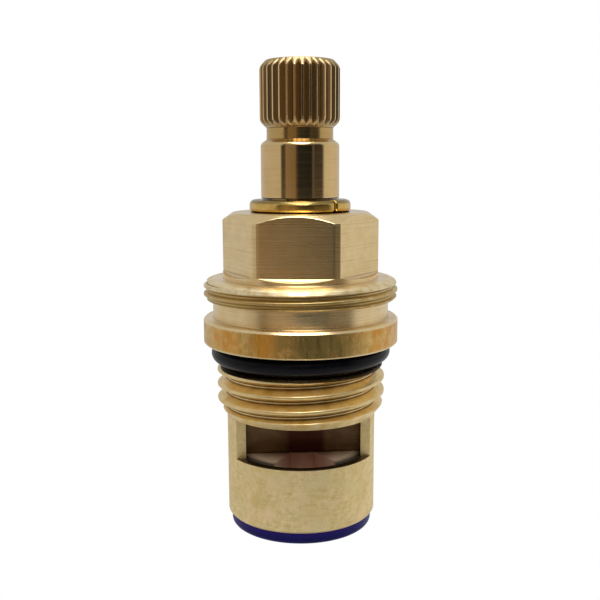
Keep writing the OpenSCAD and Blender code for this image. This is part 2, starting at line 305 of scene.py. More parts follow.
valve_z = np.arange(lintel_z, seal_groove_z, thread_step)[1:]
valve_blank = np.interp(
    valve_z,
    [lintel_z, lintel_z + valve_lead, seal_groove_z - valve_top_chamfer, seal_groove_z],
    [skirt_r, valve_crest_r, valve_crest_r, valve_crest_r - valve_top_chamfer],
)
valve_rows = [(skirt_r, lintel_z)]
for blank, z in zip(valve_blank, valve_z):
    cut_r = thread(outer, z, valve_crest_r, valve_depth, valve_pitch, valve_crest_z)
    valve_rows.append((softer_min(blank, cut_r, valve_round), z))
collar_low_z = collar_z + collar_low_edge
collar_top_z = relief_z - collar_bevel_h
groove_rows = [valve_rows[-1]] + rounded_outline([
    (seal_groove_r + fine_round, seal_groove_z, 0),
    (seal_groove_r, seal_groove_z, 0),
    (seal_groove_r, collar_z, groove_round),
    (collar_r - clean_edge_w, collar_z, 0),
])
collar_edge_rows = rounded_outline([
    (collar_r - clean_edge_w, collar_z, 0),
    (collar_r - collar_low_edge, collar_z, fine_round),
    (collar_r, collar_low_z, 0),
])
collar_rows = [(collar_r, collar_low_z), (collar_r, collar_top_z)]
relief_rows = rounded_outline([
    (collar_r, collar_top_z, 0),
    (collar_r - collar_bevel_w, relief_z, collar_bevel_round),
    (relief_r, relief_z, relief_round),
    (relief_r, shroud_z, relief_round),
    (shroud_crest_r - shroud_face_w, shroud_z, 0),
])
shroud_rings = 56
shroud_step = np.linspace(shroud_z, boss_z, shroud_rings)
rim_r = shroud_crest_r - shroud_rim_inset[-1]
shroud_blank = np.interp(
    shroud_step,
    [shroud_z, shroud_z + shroud_lead, *(boss_z - shroud_rim_drop)],
    [shroud_crest_r - shroud_lead, shroud_crest_r, *(shroud_crest_r - shroud_rim_inset)],
)
runout_z = [boss_z - drop for drop in shroud_runout]
climb = shroud_pitch * outer / (2 * math.pi)
shroud_rows = [relief_rows[-1]]
for blank, z in zip(shroud_blank, shroud_step):
    cut_r = thread(outer, z, shroud_crest_r, shroud_depth, shroud_pitch, shroud_crest_z)
    groove_turns = np.floor((z - shroud_crest_z - climb) / shroud_pitch) + 0.5
    groove_z = shroud_crest_z + climb + shroud_pitch * groove_turns
    fade = np.interp(groove_z, runout_z, [1, 0])
    faded_r = shroud_crest_r - fade * (shroud_crest_r - cut_r)
    shroud_rows.append((softer_min(blank, faded_r, shroud_round), z))
ledge_rows = [shroud_rows[-1]] + rounded_outline([
    (rim_r - 2 * fine_round, boss_z, 0),
    (hex_corner_r, boss_z, corner_round),
    (hex_corner_r, boss_z + boss_h, 0),
])

off_flat = (outer - hex_turn) % (math.pi / 3) - math.pi / 6
hex_r = softer_min(hex_half / np.cos(off_flat), hex_corner_r, hex_round)
foot_w = hex_corner_r - hex_r
foot_z = hex_z - foot_drop
scoop_z = foot_z - foot_scoop * foot_w
boss_rows = [ledge_rows[-1]] + [
    (hex_corner_r - inset * foot_w, scoop_z - drop * foot_w)
    for inset, drop in foot_rim
] + [(hex_r + (foot_scoop + foot_lip) * foot_w, scoop_z)]
scoop_rows = [boss_rows[-1]] + [
    (hex_r + foot_scoop * rise * foot_w, foot_z - foot_scoop * rise * foot_w)
    for rise in (0.97, 0.5, 0.04)
]
chamfer_low_z = body_top_z - hex_chamfer - hex_lead
chamfer_z = np.arange(chamfer_low_z, body_top_z - hex_top_edge, hex_step)
flats_z = np.concatenate([foot_z + hex_ring_h, chamfer_z])
cone = (hex_corner_r - hex_top_r) / hex_chamfer
hex_rows = [scoop_rows[-1]] + [
    (softer_min(hex_r, hex_top_r + cone * (body_top_z - z), hex_round), z) for z in flats_z
]
top_rows = [hex_rows[-1], (hex_top_r - 2 * fine_round, body_top_z), (shadow_ring_r, body_top_z)]
shadow_ring_rows = rounded_outline([
    (shadow_ring_r, body_top_z, 0),
    (shank_bore_r + shank_bore_chamfer, body_top_z, fine_round),
    (shank_bore_r, body_top_z - shank_bore_chamfer, 0),
])
bore_rows = [
    shadow_ring_rows[-1],
    (shank_bore_r, shoulder_z),
    (lug_r, shoulder_z, inner),
    (lug_r, stop_z, inner),
    (chamber_r, stop_z, inner),
    (chamber_r, lintel_z, inner),
]
chamber_rows = [
    (chamber_r, sill_z - window_edge, inner),
    (chamber_r, key_slot_z, inner),
    (slot_r, key_slot_z, inner),
    (slot_r, skirt_z, inner),
]

# The top rows of the valve thread, the seal groove, the ring round the bore and the window sills take the
# painted shadow finish.
shadow_rings = 5
matte, cut, drawn, turned, milled, painted_shadow, shroud_cut = range(7)
body_patches = all_round([
    (skirt_rows, matte),
    (valve_rows[:-shadow_rings], cut),
    (valve_rows[-shadow_rings - 1:], painted_shadow),
    (groove_rows, painted_shadow),
    (collar_edge_rows, turned),
    (collar_rows, drawn),
    (relief_rows, turned),
    (shroud_rows, shroud_cut),
    (ledge_rows, turned),
    (boss_rows, turned),
    (scoop_rows, turned),
    (hex_rows, milled),
    (top_rows, turned),
    (shadow_ring_rows, painted_shadow),
    (bore_rows, turned),
    (chamber_rows, matte),
], outer)
sill, lintel = rings(sill_rows, outer), rings(lintel_rows, outer)
for first, last in windows:
    body_patches.append((stretch(sill, first, last), False, painted_shadow))
    body_patches.append((stretch(lintel, first, last), False, matte))
for first, last in pillars:
    body_patches.append((stretch(pillar_outside, first, last), False, matte))
    body_patches.append((stretch(pillar_inside, first, last), False, matte))
    for column, direction in ((first, -1), (last, 1)):
        low_edge = sill[:, column % all_cols][::direction]
        high_edge = lintel[::-1, column % all_cols][::direction]
        body_patches.append((np.array([low_edge, high_edge]), False, matte))


def new_material(name):
    """A material with its Principled shader and its node tree."""
    material = bpy.data.materials.new(name)
    material.use_nodes = True
    tree = material.node_tree
    return material, tree.nodes["Principled BSDF"], tree


def new_group(name, inputs, outputs):
    """An empty node group with number sockets of those names."""
    group = bpy.data.node_groups.new(name, "ShaderNodeTree")
    for names, side in ((inputs, "INPUT"), (outputs, "OUTPUT")):
        for socket in names:
            group.interface.new_socket(socket, in_out=side, socket_type="NodeSocketFloat")
    return group, group.nodes.new("NodeGroupInput").outputs, group.nodes.new("NodeGroupOutput").inputs


def math_node(tree, operation, *inputs):
    """The output of a node that works out one value from numbers and other outputs."""
    node = tree.nodes.new("ShaderNodeMath")
    node.operation = operation
    for socket, value in zip(node.inputs, inputs):
        if isinstance(value, (int, float)):
            socket.default_value = value
        else:
            tree.links.new(value, socket)
    return node.outputs[0]


def noise_mask(group, into, result, detail, rough):
    """A noise node whose values between the group's From and To become 0 to 1 in its result."""
    noise = group.nodes.new("ShaderNodeTexNoise")
    noise.inputs["Detail"].default_value = detail
    noise.inputs["Roughness"].default_value = rough
    spread = group.nodes.new("ShaderNodeMapRange")
    link = group.links.new
    link(noise.outputs["Fac"], spread.inputs["Value"])
    link(into["From"], spread.inputs["From Min"])
    link(into["To"], spread.inputs["From Max"])
    link(spread.outputs["Result"], result)
    return noise


def streak_group():
    """Noise drawn out along or round the axis: turning lines, milling lines and drawn streaks."""
    inputs = ("Length round mm", "Length along mm", "From", "To")
    group, into, out = new_group("Streaks", inputs, ("Streak",))
    place = group.nodes.new("ShaderNodeTexCoord")
    length = group.nodes.new("ShaderNodeCombineXYZ")
    millimetres = group.nodes.new("ShaderNodeVectorMath")
    millimetres.operation = "SCALE"
    millimetres.inputs["Scale"].default_value = 1 / MM
    divide = group.nodes.new("ShaderNodeVectorMath")
    divide.operation = "DIVIDE"
    noise = noise_mask(group, into, out["Streak"], detail=3.0, rough=0.6)
    noise.inputs["Scale"].default_value = 1.0
    link = group.links.new
    for axis in ("X", "Y"):
        link(into["Length round mm"], length.inputs[axis])
    link(into["Length along mm"], length.inputs["Z"])
    link(place.outputs["Object"], millimetres.inputs[0])
    link(millimetres.outputs[0], divide.inputs[0])
    link(length.outputs[0], divide.inputs[1])
    link(divide.outputs[0], noise.inputs["Vector"])
    return group


def mottle_group():
    """Cloudy patches with an edge that can be made sharper: tarnish, stains and tumbling marks."""
    group, into, out = new_group("Mottle", ("Patch mm", "From", "To"), ("Mask",))
    place = group.nodes.new("ShaderNodeTexCoord")
    noise = noise_mask(group, into, out["Mask"], detail=5.0, rough=0.62)
    link = group.links.new
    link(place.outputs["Object"], noise.inputs["Vector"])
    link(math_node(group, "DIVIDE", 1 / MM, into["Patch mm"]), noise.inputs["Scale"])
    return group


def edge_group():
    """Rubbed edges and painted shade: Worn is 1 on sharp outer edges, where metal is rubbed bright, and
    Corner shade is 1 in corners, for painted shade.
    """
    group, into, out = new_group("Edges", ("Reach",), ("Worn", "Corner shade"))
    least_bend = 0.08
    bend = group.nodes.new("ShaderNodeAttribute")
    bend.attribute_name = "edge"
    link = group.links.new
    for name, direction in (("Worn", 1), ("Corner shade", -1)):
        spread = group.nodes.new("ShaderNodeMapRange")
        spread.inputs["From Min"].default_value = direction * least_bend
        link(math_node(group, "MULTIPLY", into["Reach"], direction), spread.inputs["From Max"])
        link(bend.outputs["Fac"], spread.inputs["Value"])
        link(spread.outputs["Result"], out[name])
    return group


streaks, mottle, edges = streak_group(), mottle_group(), edge_group()


def place_group(tree, group, *values):
    """The outputs of a node that uses the group, with its inputs set in their order."""
    node = tree.nodes.new("ShaderNodeGroup")
    node.node_tree = group
    for socket, value in zip(node.inputs, values):
        socket.default_value = value
    return node.outputs


def two_tone(tree, mask, first, second):
    """Colour that goes from the first, a colour or another node's output, to the second with the mask."""
    mix = tree.nodes.new("ShaderNodeMix")
    mix.data_type = "RGBA"
    tree.links.new(mask, mix.inputs["Factor"])
    for socket, colour in ((mix.inputs["A"], first), (mix.inputs["B"], second)):
        if isinstance(colour, tuple):
            socket.default_value = (*colour, 1)
        else:
            tree.links.new(colour, socket)
    return mix.outputs["Result"]


def between(tree, mask, low, high):
    """Value that goes from low to high with the mask."""
    spread = tree.nodes.new("ShaderNodeMapRange")
    tree.links.new(mask, spread.inputs["Value"])
    spread.inputs["To Min"].default_value = low
    spread.inputs["To Max"].default_value = high
    return spread.outputs["Result"]


def bumped(tree, height, depth_mm, under=None):
    """Normal of a surface with that height pattern, laid over another normal where one is given."""
    bump = tree.nodes.new("ShaderNodeBump")
    bump.inputs["Strength"].default_value = 1.0
    bump.inputs["Distance"].default_value = depth_mm * MM
    tree.links.new(height, bump.inputs["Height"])
    if under is not None:
        tree.links.new(under, bump.inputs["Normal"])
    return bump.outputs["Normal"]


bright_edge = (0.92, 0.76, 0.44)
# Colour laid into corners and creases by the Edges group: painted shade.
corner_shade_brown = (0.26, 0.15, 0.06)
across_lines = 0.25
even_marks = (0.3, 0.7)
deep_marks = (0.52, 0.8)
deep_mark_shade = 0.45
soft_clouds = (0.32, 0.68)
sparse_stains = (0.48, 0.68)


def brass_finish(name, pale, deep, cloud_mm, rough, lines, line_depth, line_shade=0.3,
                 grain=(0.2, 0.0), stain=None, stain_mm=2.5, worn=0.5, corner_shade=0.6, reach=0.5, brushed=0.0,
                 metal=1.0):
    """Brass in clouds of two tones, with machining lines, a fine grain, stains, rubbed edges and corners
    darkened as painted shade. lines holds the lengths of a machining line round and along the axis."""
    material, shader, tree = new_material(name)
    link = tree.links.new
    clouds = place_group(tree, mottle, cloud_mm, *soft_clouds)["Mask"]
    colour = two_tone(tree, clouds, pale, deep)
    if stain:
        spots = place_group(tree, mottle, stain_mm, *sparse_stains)["Mask"]
        colour = two_tone(tree, spots, colour, stain)
    marks = place_group(tree, streaks, *lines, *even_marks)["Streak"]
    cuts = place_group(tree, streaks, *lines, *deep_marks)["Streak"]
    shade = tuple(c * deep_mark_shade for c in deep)
    colour = two_tone(tree, between(tree, cuts, 0, line_shade), colour, shade)
    wear_and_shade = place_group(tree, edges, reach)
    colour = two_tone(tree, between(tree, wear_and_shade["Corner shade"], 0, corner_shade), colour, corner_shade_brown)
    colour = two_tone(tree, between(tree, wear_and_shade["Worn"], 0, worn), colour, bright_edge)
    link(colour, shader.inputs["Base Color"])
    link(between(tree, marks, *rough), shader.inputs["Roughness"])
    normal = bumped(tree, marks, line_depth)
    grain_mm, grain_depth = grain
    if grain_depth:
        grains = place_group(tree, mottle, grain_mm, *even_marks)["Mask"]
        normal = bumped(tree, grains, grain_depth, normal)
    link(normal, shader.inputs["Normal"])
    shader.inputs["Metallic"].default_value = metal
    if brushed:
        grain_way = tree.nodes.new("ShaderNodeTangent")
        grain_way.direction_type = "RADIAL"
        grain_way.axis = "Z"
        link(grain_way.outputs["Tangent"], shader.inputs["Tangent"])
        shader.inputs["Anisotropic"].default_value = brushed
        shader.inputs["Anisotropic Rotation"].default_value = across_lines
    return material


matte_brass = brass_finish(
    "skirt_matte_brass", (0.97, 0.80, 0.44), (0.78, 0.585, 0.25), 0.62, (0.40, 0.58), (2.2, 0.22), 0.008,
    line_shade=0.22, grain=(0.24, 0.026), stain=(0.80, 0.61, 0.26), stain_mm=4.0, worn=0.3, corner_shade=0.3)
thread_brass = brass_finish(
    "cut_thread_brass", (0.92, 0.73, 0.38), (0.86, 0.63, 0.28), 1.0, (0.30, 0.46), (3.0, 0.14), 0.003,
    line_shade=0.3, stain=(0.76, 0.53, 0.19), stain_mm=1.6, worn=0.2, corner_shade=0.9, reach=0.2)
shroud_brass = brass_finish(
    "shroud_thread_brass", (0.92, 0.775, 0.50), (0.84, 0.67, 0.385), 1.2, (0.30, 0.46), (3.0, 0.14), 0.003,
    line_shade=0.35, stain=(0.68, 0.51, 0.225), stain_mm=1.2, worn=0.2, corner_shade=0.9, reach=0.2)
collar_brass = brass_finish(
    "collar_drawn_brass", (0.88, 0.60, 0.23), (0.58, 0.37, 0.10), 0.8, (0.24, 0.44), (0.3, 2.2), 0.008,
    line_shade=0.32, grain=(0.35, 0.01), stain=(0.70, 0.30, 0.05), stain_mm=3.4, worn=0.6)
turned_brass = brass_finish(
    "turned_brass", (0.90, 0.71, 0.41), (0.82, 0.60, 0.30), 2.0, (0.22, 0.36), (8.0, 0.2), 0.010,
    line_shade=0.35, worn=0.4, corner_shade=0.5, brushed=0.8)
milled_brass = brass_finish(
    "milled_hexagon_brass", (0.88, 0.67, 0.35), (0.80, 0.58, 0.28), 1.8, (0.16, 0.28), (14.0, 0.14), 0.006,
    line_shade=0.55, worn=0.5, brushed=0.6)
# Near-black brass that stands in for shade: painted shadow under the O-ring and the circlip and on the
# window sills.
painted_shadow_brass = brass_finish(
    "painted_shadow_brass", (0.13, 0.085, 0.035), (0.05, 0.03, 0.012), 0.3, (0.35, 0.6), (0.25, 0.5), 0.012,
    line_shade=0.5, grain=(0.2, 0.02), worn=0.0)


def ramped(tree, value, start, end):
    """Mask that goes from 0 to 1 where the value goes from start to end."""
    spread = tree.nodes.new("ShaderNodeMapRange")
    spread.inputs["From Min"].default_value = start
    spread.inputs["From Max"].default_value = end
    tree.links.new(value, spread.inputs["Value"])
    return spread.outputs["Result"]


def band(tree, axis, start, end):
    """Mask that goes from 0 to 1 where the place along X, Y or Z, or the radius R, goes from start to end,
    in millimetres."""
    link = tree.links.new
    place = tree.nodes.new("ShaderNodeTexCoord")
    parts = tree.nodes.new("ShaderNodeSeparateXYZ")
    link(place.outputs["Object"], parts.inputs[0])
    if axis != "R":
        return ramped(tree, parts.outputs[axis], start * MM, end * MM)
    across = tree.nodes.new("ShaderNodeCombineXYZ")
    radius = tree.nodes.new("ShaderNodeVectorMath")
    radius.operation = "LENGTH"
    link(parts.outputs["X"], across.inputs["X"])
    link(parts.outputs["Y"], across.inputs["Y"])
    link(across.outputs[0], radius.inputs[0])
    return ramped(tree, radius.outputs["Value"], start * MM, end * MM)


def overlaid(material, masks, colour):
    """Lays one more colour over a material's own, where all the masks are 1."""
    tree = material.node_tree
    base = tree.nodes["Principled BSDF"].inputs["Base Color"]
    mask = masks[0]
    for other in masks[1:]:
        mask = math_node(tree, "MULTIPLY", mask, other)
    tree.links.new(two_tone(tree, mask, base.links[0].from_socket, colour), base)


tree = matte_brass.node_tree
peach_mm, peach = 1.5, (0.97, 0.735, 0.43)
straw_mm, straw = 2.6, (0.85, 0.71, 0.37)
crisp_patches = (0.5, 0.68)
for patch_mm, colour in ((peach_mm, peach), (straw_mm, straw)):
    patches = place_group(tree, mottle, patch_mm, *crisp_patches)["Mask"]
    overlaid(matte_brass, [patches], colour)

tree = shroud_brass.node_tree
# Brown patches on the lower turns of the shroud thread, darker towards the bottom.
shroud_low_brown = (0.58, 0.42, 0.165)
shroud_low_brown_z = (boss_z - 0.85, boss_z - 1.15)
shroud_patch_mm, shroud_patch_spread = 1.4, (0.22, 0.5)
patches = place_group(tree, mottle, shroud_patch_mm, *shroud_patch_spread)["Mask"]
overlaid(shroud_brass, [band(tree, "Z", *shroud_low_brown_z), patches], shroud_low_brown)

tree = collar_brass.node_tree
collar_front_y = (-9.0, -10.5)
collar_patch_mm, collar_spread = 1.6, (0.28, 0.5)
# Patches on the collar's front: the dark olive ones across the middle are a painted reflection of the dark
# front; the orange ones lie left of the middle.
front_olive_reflection = ((0.48, 0.34, 0.11), (-4.6, -3.2), (5.2, 3.6))
orange = ((0.80, 0.42, 0.08), (-6.6, -5.6), (-3.4, -4.4))
for colour, left_x, right_x in (front_olive_reflection, orange):
    between_x = [band(tree, "X", *left_x), band(tree, "X", *right_x)]
    patches = place_group(tree, mottle, collar_patch_mm, *collar_spread)["Mask"]
    overlaid(collar_brass, [*between_x, band(tree, "Y", *collar_front_y), patches], colour)

body_finishes = [matte_brass, thread_brass, collar_brass, turned_brass]
body_finishes += [milled_brass, painted_shadow_brass, shroud_brass]
brass_body = skin("brass_body", body_patches, body_finishes)
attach(brass_body, "body")
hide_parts("valve_body")

# Spindle
# Turned from brass bar: splined head for the handle, neck, journal, circlip groove and shank, with a
# flange and a driving blade milled at the lower end. It turns a quarter turn in the body.
spindle_low, spindle_high = (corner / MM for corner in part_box("spindle"))
clip_low, clip_high = (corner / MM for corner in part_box("circlip"))
head_top_z = spindle_high.z
tongue_z = spindle_low.z
teeth = 32
# Places of the points on half a tooth, as shares of its pitch from the middle of the crest.
half_tooth_marks = np.array((0.05, 0.09, 0.1, 0.113, 0.16, 0.3, 0.47))
tooth_marks = np.concatenate([[-0.5], -half_tooth_marks[::-1], half_tooth_marks])
spline_r = 4.82
spline_depth = 0.55
crest_share = 0.2
crest_round = 0.015
head_z = 49.38
head_lead = 0.15
head_low_round = 0.3
head_chamfer = (0.74, 0.78)
head_top_round = 0.36
head_rim = 0.06
neck_r = 4.02
neck_z = 48.03
neck_low_round = 0.1
neck_top_round = 0.2
journal_r = 4.76
journal_top_z = 47.5
journal_top_round = 0.55
journal_side_top_z = journal_top_z - 0.3
journal_edge = 0.12
clip_groove_r = 3.57
clip_groove_h = 1.6
journal_z = clip_low.z + clip_groove_h
shank_r = 4.9
shank_edge = 0.1
flange_z = 14.6
flange_top_z = 17.6
flange_r = 8.2
notch_r = 6.5
notch_half = 58
blade_half = 2.7
tongue_half = 2.0
blade_r = 8.1
blade_z = sill_z + 0.05
blade_edge = 0.12
blade_round = 0.1
screw_minor_r = 1.65
screw_major_r = 2.0
screw_depth = screw_major_r - screw_minor_r
screw_pitch = 0.7
screw_step = 0.1
screw_lead = 0.5
screw_rim = ((0.2, 0.0), (0.1, 0.03))
screw_thread_l = 6.0
screw_hole_l = 12.0
screw_hole_dip = 0.01
oring_grooves = tuple(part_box(n) for n in ("lower_spindle_oring", "upper_spindle_oring"))
oring_groove_r = 3.46
oring_groove_half = 0.91

tooth_pitch = 2 * math.pi / teeth
around = (np.arange(teeth)[:, None] + tooth_marks).reshape(-1) * tooth_pitch - math.pi / 2


def bar(half, r):
    """Section of a flat bar across the axis with round ends."""
    return softer_min(half / np.maximum(np.abs(np.sin(around)), NEARLY_ZERO), r, blade_round)


off_tooth = np.abs((around + math.pi / 2 + tooth_pitch / 2) % tooth_pitch - tooth_pitch / 2) / tooth_pitch
down_flank = (off_tooth - crest_share / 2) / (0.5 - crest_share / 2)
tooth_r = softer_min(spline_r - spline_depth * down_flank, spline_r, crest_round)
off_notch = np.abs((np.degrees(around) + 90 + 90) % 180 - 90)
flange_edge_r = np.where(off_notch < notch_half, notch_r, flange_r)

foot_rows = [
    (0.0, tongue_z),
    (bar(tongue_half - blade_edge, blade_r - blade_edge), tongue_z),
    (bar(tongue_half, blade_r), tongue_z + blade_edge),
    (bar(tongue_half, blade_r), blade_z),
    (bar(blade_half - blade_edge, blade_r - blade_edge), blade_z),
    (bar(blade_half, blade_r), blade_z + blade_edge),
    (bar(blade_half, blade_r), flange_z),
    (flange_edge_r, flange_z),
    (flange_edge_r, flange_top_z),
    (shank_r, flange_top_z),
]
shank_rows = [(shank_r, flange_top_z)]
for low, high in oring_grooves:
    middle = (low.z + high.z) / 2 / MM
    for side in (-oring_groove_half, oring_groove_half):
        pair = [(shank_r, middle + side), (oring_groove_r, middle + side)]
        shank_rows += pair if side < 0 else reversed(pair)
shank_rows += [(shank_r - shank_edge, clip_low.z), (clip_groove_r, clip_low.z)]
clip_groove_rows = [(clip_groove_r, clip_low.z), (clip_groove_r, journal_z)]
shadow_rows = [
    (clip_groove_r, journal_z),
    (journal_r - journal_edge, journal_z),
    (journal_r, journal_z + journal_edge),
]
journal_rows = [shadow_rows[-1], (journal_r, journal_side_top_z)]
neck_rows = rounded_outline([
    (journal_r, journal_side_top_z, 0),
    (journal_r, journal_top_z, journal_top_round),
    (neck_r, neck_z, neck_low_round),
    (neck_r, head_z, neck_top_round),
    (neck_r + head_lead, head_z + head_lead, 0),
])
low_chamfer_z = head_z + spline_r - neck_r
top_chamfer_z = head_top_z - head_chamfer[1]
# The head's rings lie close together on both chamfers and far apart between them.
head_step = np.concatenate([
    np.linspace(head_z + head_lead, low_chamfer_z + 0.05, 20),
    np.linspace(low_chamfer_z + 0.3, top_chamfer_z - 0.3, 4),
    np.linspace(top_chamfer_z - 0.15, head_top_z - 0.03, 18),
])
head_rows = []
for z in head_step:
    cone_low = neck_r + (z - head_z)
    cone_top = spline_r - head_chamfer[0] * (z - top_chamfer_z) / head_chamfer[1]
    cone_r, blend = min((cone_low, head_low_round), (cone_top, head_top_round))
    head_rows.append((softer_min(tooth_r, cone_r, blend), z))
rim_rows = [
    head_rows[-1],
    (spline_r - head_chamfer[0] - head_rim, head_top_z),
    *((screw_major_r + width, head_top_z - drop) for width, drop in screw_rim),
    (screw_minor_r, head_top_z - screw_lead),
]
screw_end_z = head_top_z - screw_thread_l
screw_rows = []
for z in np.arange(head_top_z - screw_lead, screw_end_z, -screw_step):
    pin_r = thread(around, z, screw_major_r, screw_depth, screw_pitch, 0)
    screw_rows.append((screw_major_r + screw_minor_r - pin_r, z))
hole_end_z = head_top_z - screw_hole_l
hole_rows = [
    screw_rows[-1],
    (screw_minor_r, screw_end_z - screw_step),
    (screw_minor_r, hole_end_z),
    (0.0, hole_end_z - screw_hole_dip),
]

spindle_brass = brass_finish(
    "polished_turned_brass", (0.79, 0.55, 0.26), (0.74, 0.50, 0.22), 2.5, (0.07, 0.16), (9.0, 0.14), 0.002,
    line_shade=0.28, worn=0.3, corner_shade=0.5, brushed=0.7)
spline_rough = (0.12, 0.32)
spline_brass = brass_finish(
    "rolled_spline_brass", (0.92, 0.63, 0.31), (0.84, 0.56, 0.26), 1.5, spline_rough, (0.12, 3.0), 0.001,
    line_shade=0.3, worn=0.25, corner_shade=0.3, metal=0.98)
tree = spline_brass.node_tree
# The flanks below the crests are darker brown, a painted shade, and rougher than the crests.
flank_painted_shade = (0.48, 0.335, 0.165)
flank_r = (spline_r - 0.03, spline_r - 0.1)
flanks = band(tree, "R", *flank_r)
overlaid(spline_brass, [flanks], flank_painted_shade)
tree.links.new(between(tree, flanks, *spline_rough), tree.nodes["Principled BSDF"].inputs["Roughness"])
# The neck's brass is satin and darker than the journal's. The satin finish is its own, and the darker tone
# is painted shade under the head.
shaded_neck_brass = brass_finish(
    "satin_shaded_neck_brass", (0.63, 0.42, 0.155), (0.56, 0.365, 0.135), 2.0, (0.14, 0.26), (6.0, 0.12), 0.003,
    line_shade=0.3, worn=0.4, corner_shade=0.9, reach=0.15, brushed=0.6)
# Very dark brass for the blade, flange, shank, screw hole and the journal's underside: painted shade, for
# parts in shade inside the body and under the journal.
blade_shade_brass = brass_finish(
    "milled_blade_shade_brass", (0.25, 0.155, 0.075), (0.19, 0.11, 0.055), 1.5, (0.42, 0.55), (3.0, 0.3), 0.006,
    worn=0.0)
tree = blade_shade_brass.node_tree
# A darker red-brown patch in the middle of the blade's face, low down: a painted reflection.
blade_dark_reflection = (0.13, 0.045, 0.03)
reflection_left_x, reflection_right_x, reflection_z = (-2.3, -1.5), (3.0, 2.4), (16.0, 15.5)
reflection_x = [band(tree, "X", *reflection_left_x), band(tree, "X", *reflection_right_x)]
overlaid(blade_shade_brass, [*reflection_x, band(tree, "Z", *reflection_z)], blade_dark_reflection)

# Finishes of the spindle; shadowed is the dark brass of painted shade.
polished, shadowed, rolled, satin_shaded = range(4)
spindle_patches = all_round([
    (foot_rows, shadowed),
    (shank_rows, shadowed),
    (clip_groove_rows, polished),
    (shadow_rows, shadowed),
    (journal_rows, polished),
    (neck_rows, satin_shaded),
    ([neck_rows[-1]] + head_rows, rolled),
    (rim_rows, polished),
    ([rim_rows[-1]] + screw_rows, shadowed),
    (hole_rows, shadowed),
], around)
spindle_finishes = [spindle_brass, blade_shade_brass, spline_brass, shaded_neck_brass]
splined_spindle = skin("splined_spindle", spindle_patches, spindle_finishes)
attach(splined_spindle, "spindle")
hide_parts("spindle")

# Rubber rings
# Black nitrile O-rings: two seal the shank in the bore, and a larger one seals the body in the tap.
# They are moulded, so they shine a little and carry a faint bloom. The large one sits slightly askew.


def rubber_finish(name, base, bloom, rough):
    """Moulded rubber with a cloudy bloom and a fine skin."""
    material, shader, tree = new_material(name)
    bloom_mm, pore_mm, pore_depth = 1.8, 0.12, 0.002
    clouds = place_group(tree, mottle, bloom_mm, 0.4, 0.75)["Mask"]
    pores = place_group(tree, mottle, pore_mm, *even_marks)["Mask"]
    tree.links.new(two_tone(tree, clouds, base, bloom), shader.inputs["Base Color"])
    tree.links.new(between(tree, clouds, *rough), shader.inputs["Roughness"])
    tree.links.new(bumped(tree, pores, pore_depth), shader.inputs["Normal"])
    shader.inputs["Specular IOR Level"].default_value = 0.12
    return material


black_rubber = rubber_finish("black_nitrile", (0.004, 0.004, 0.006), (0.008, 0.008, 0.014), (0.26, 0.40))
ring_low, ring_high = (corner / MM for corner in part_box("body_oring"))
ring_section = ring_high.z - ring_low.z
ring_r = ring_high.x - ring_section / 2
ring_z = (ring_high.z + ring_low.z) / 2
ring_droop = 0.24
ring_turn = np.linspace(0, 2 * math.pi, 240, endpoint=False)
section_turn = np.linspace(0, -2 * math.pi, 33)
ring_middle_z = ring_z - ring_droop * (1 - np.cos(ring_turn)) / 2
ring_rows = [
    (ring_r + ring_section / 2 * math.cos(a), ring_middle_z - ring_section / 2 * math.sin(a))
    for a in section_turn
]
collar_oring = skin("collar_oring", all_round([(ring_rows, 0)], ring_turn), [black_rubber])
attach(collar_oring, "body")
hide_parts("body_oring")


def dress(name, material):
    """Puts a material on a CAD piece that is shown as it is."""
    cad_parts[name].data.materials.clear()
    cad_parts[name].data.materials.append(material)


for name in ("lower_spindle_oring", "upper_spindle_oring"):
    dress(name, black_rubber)

# Circlip
# A split ring of golden spring brass, stamped and tumbled so that its edges are round. It snaps into
# the spindle's groove and holds the spindle down on top of the hexagon.
clip_brass = brass_finish(
    "tumbled_golden_brass", (0.81, 0.54, 0.165), (0.69, 0.425, 0.095), 0.9, (0.16, 0.28), (1.0, 0.4), 0.001,
    worn=0.0)
# The upper rounding is darkened to olive: painted shade that dims its highlight to yellow.
clip_top_shade = (0.28, 0.205, 0.07)
clip_top_shade_z = (clip_high.z - 0.48, clip_high.z - 0.25)
overlaid(clip_brass, [band(clip_brass.node_tree, "Z", *clip_top_shade_z)], clip_top_shade)
clip_r = clip_high.x
clip_in_r = clip_groove_r + 0.02
clip_top_round = 0.65
clip_low_round = 0.45
clip_in_round = 0.08
clip_dent = 0.03
clip_few_dents, clip_many_dents = 7, 12
clip_split_turn = math.radians(39 - 90)
clip_split = 0.16
clip_end_round = 0.36
clip_end_taper = 0.2
clip_lift = 0.07
clip_lift_reach = 0.9
split_half = clip_split / 2 / clip_r
end_turn = np.linspace(0, 1, 10)[:-1] ** 2 * clip_end_round / clip_r
ring_turn_half = math.pi - split_half - clip_end_round / clip_r
clip_turn = clip_split_turn + math.pi + np.concatenate([
    end_turn - (math.pi - split_half),
    np.linspace(-ring_turn_half, ring_turn_half, 200),
    math.pi - split_half - end_turn[::-1],
])
from_end = np.minimum(clip_turn - clip_turn[0], clip_turn[-1] - clip_turn) * clip_r
end_tuck = 1 - np.sqrt(1 - np.clip(1 - from_end / clip_end_round, 0, 1) ** 2)
clip_rise = clip_lift * np.clip(1 - (clip_turn - clip_turn[0]) / clip_lift_reach, 0, 1) ** 2
clip_middle_z = (clip_low.z + clip_high.z) / 2
clip_outline = rounded_outline([
    (clip_in_r, clip_middle_z, 0),
    (clip_in_r, clip_low.z, clip_in_round),
    (clip_r, clip_low.z, clip_low_round),
    (clip_r, clip_high.z, clip_top_round),
    (clip_in_r, clip_high.z, clip_in_round),
    (clip_in_r, clip_middle_z, 0),
], steps=8)
clip_dents = np.sin(clip_few_dents * clip_turn) + np.sin(clip_many_dents * clip_turn + 1)
clip_rows = []
